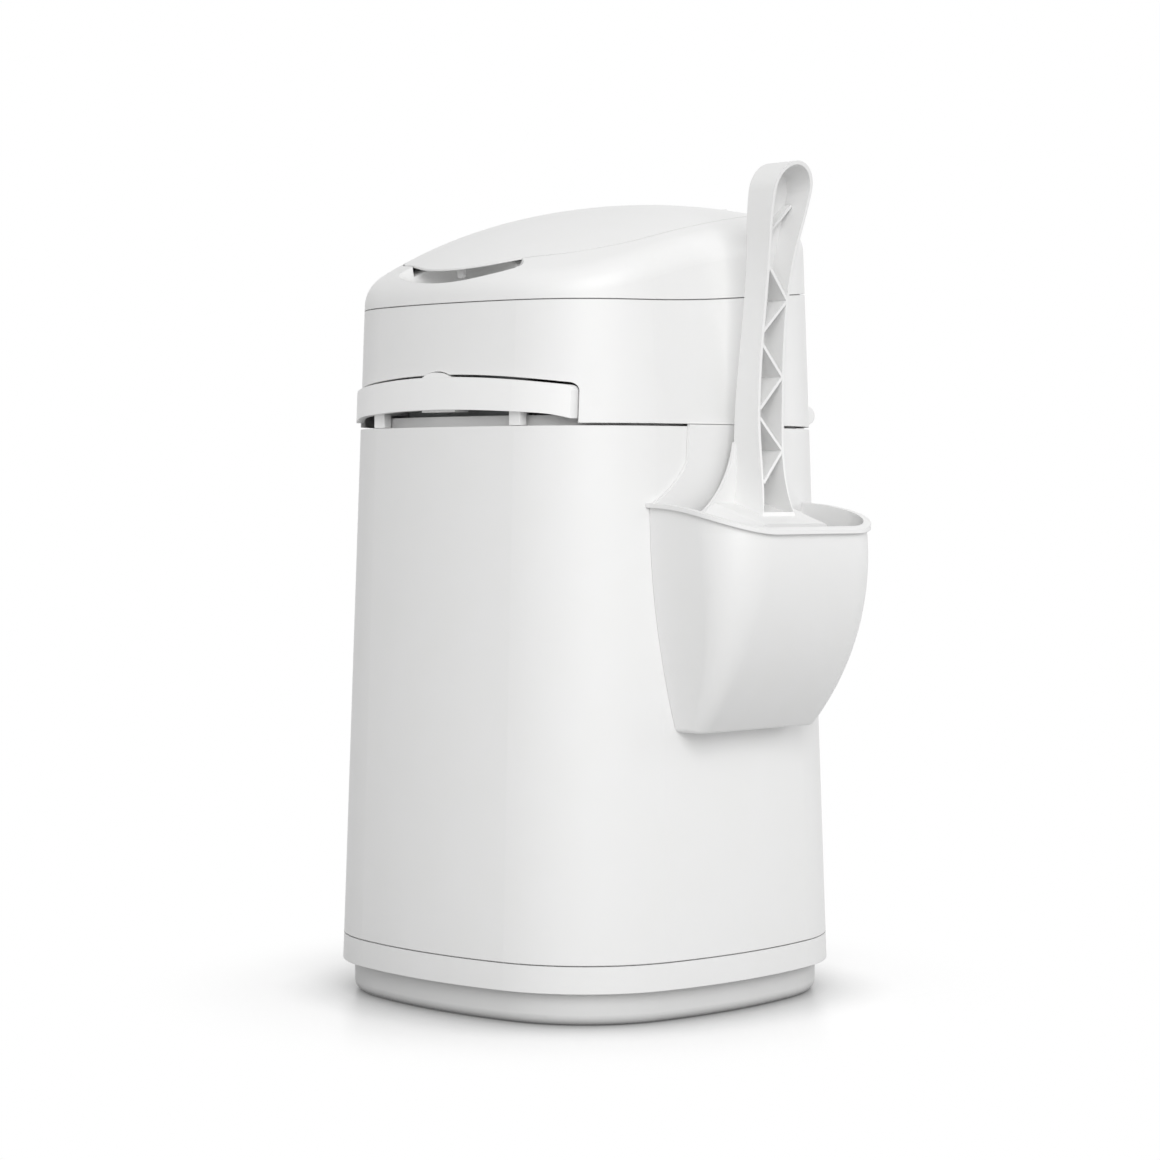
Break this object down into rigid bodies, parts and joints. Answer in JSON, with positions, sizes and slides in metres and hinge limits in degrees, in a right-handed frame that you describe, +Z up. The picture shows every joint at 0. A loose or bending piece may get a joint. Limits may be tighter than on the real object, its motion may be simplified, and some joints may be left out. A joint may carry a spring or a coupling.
{
  "type": "litter disposal pail",
  "caption": "Rounded-square litter pail with a hinged head, domed flip lid, sprung film clamp opened by a front pull handle, and a slotted scoop standing in a side holder.",
  "frame": {"origin": "on the floor under the middle of the pail's base", "axes": "front with the pull handle faces -Y, the scoop side is +X, +Z is up"},
  "size_m": [0.287, 0.239, 0.4383],
  "materials": {
    "white_shell": "semi-gloss moulded white",
    "white_inner": "matt moulded white inner parts",
    "clamp_grey": "matt light grey clamp parts",
    "soft_seal": "soft matt seal and clamp lips",
    "spring_steel": "drawn spring wire, pins and screws",
    "cassette_plastic": "matt thin-walled cassette",
    "film": "gathered thin film"
  },
  "bodies": {
    "pail": {"outer_body": "white_shell", "base_ring": "white_shell", "foot_tray": "white_shell", "rim_collar": "white_inner", "head_hinge_pins": "spring_steel", "scoop_holder": "white_shell"},
    "head": {"head_housing": "white_shell", "top_shell": "white_shell", "lid_hinge_pin": "spring_steel", "cassette_seat": "white_inner", "cassette_case": "cassette_plastic", "cassette_cap": "cassette_plastic", "film_pack": "film", "slider_tray": "clamp_grey", "tray_screws": "spring_steel", "fixed_jaw": "clamp_grey", "fixed_lip": "soft_seal", "return_springs": "spring_steel"},
    "lid": {"flip_lid": "white_shell", "lid_liner": "white_inner", "lid_seal": "soft_seal"},
    "slider": {"pull_handle": "white_shell", "moving_jaw": "clamp_grey", "moving_lip": "soft_seal", "button_spring": "spring_steel"},
    "button": {"release_button": "white_shell"},
    "scoop": {"scoop": "white_shell"}
  },
  "joints": [
    {"name": "head_hinge", "type": "hinge", "parent": "pail", "child": "head", "pos_m": [0, 0.1135, 0.3126], "axis": [-1, 0, 0], "range_deg": [0, 95]},
    {"name": "lid_hinge", "type": "hinge", "parent": "head", "child": "lid", "pos_m": [0, 0.088, 0.4256], "axis": [-1, 0, 0], "range_deg": [0, 100]},
    {"name": "handle_pull", "type": "slide", "parent": "head", "child": "slider", "axis": [0, -1, 0], "range_m": [0, 0.055], "stiffness_N_per_m": 150, "springref_m": -0.02, "deforming": ["return_springs"]},
    {"name": "button_press", "type": "slide", "parent": "slider", "child": "button", "axis": [0, 0, -1], "range_m": [0, 0.002], "stiffness_N_per_m": 400, "springref_m": -0.002, "deforming": ["button_spring"]},
    {"name": "scoop_lift", "type": "slide", "parent": "pail", "child": "scoop", "axis": [0, 0, 1], "range_m": [0, 0.14]}
  ]
}
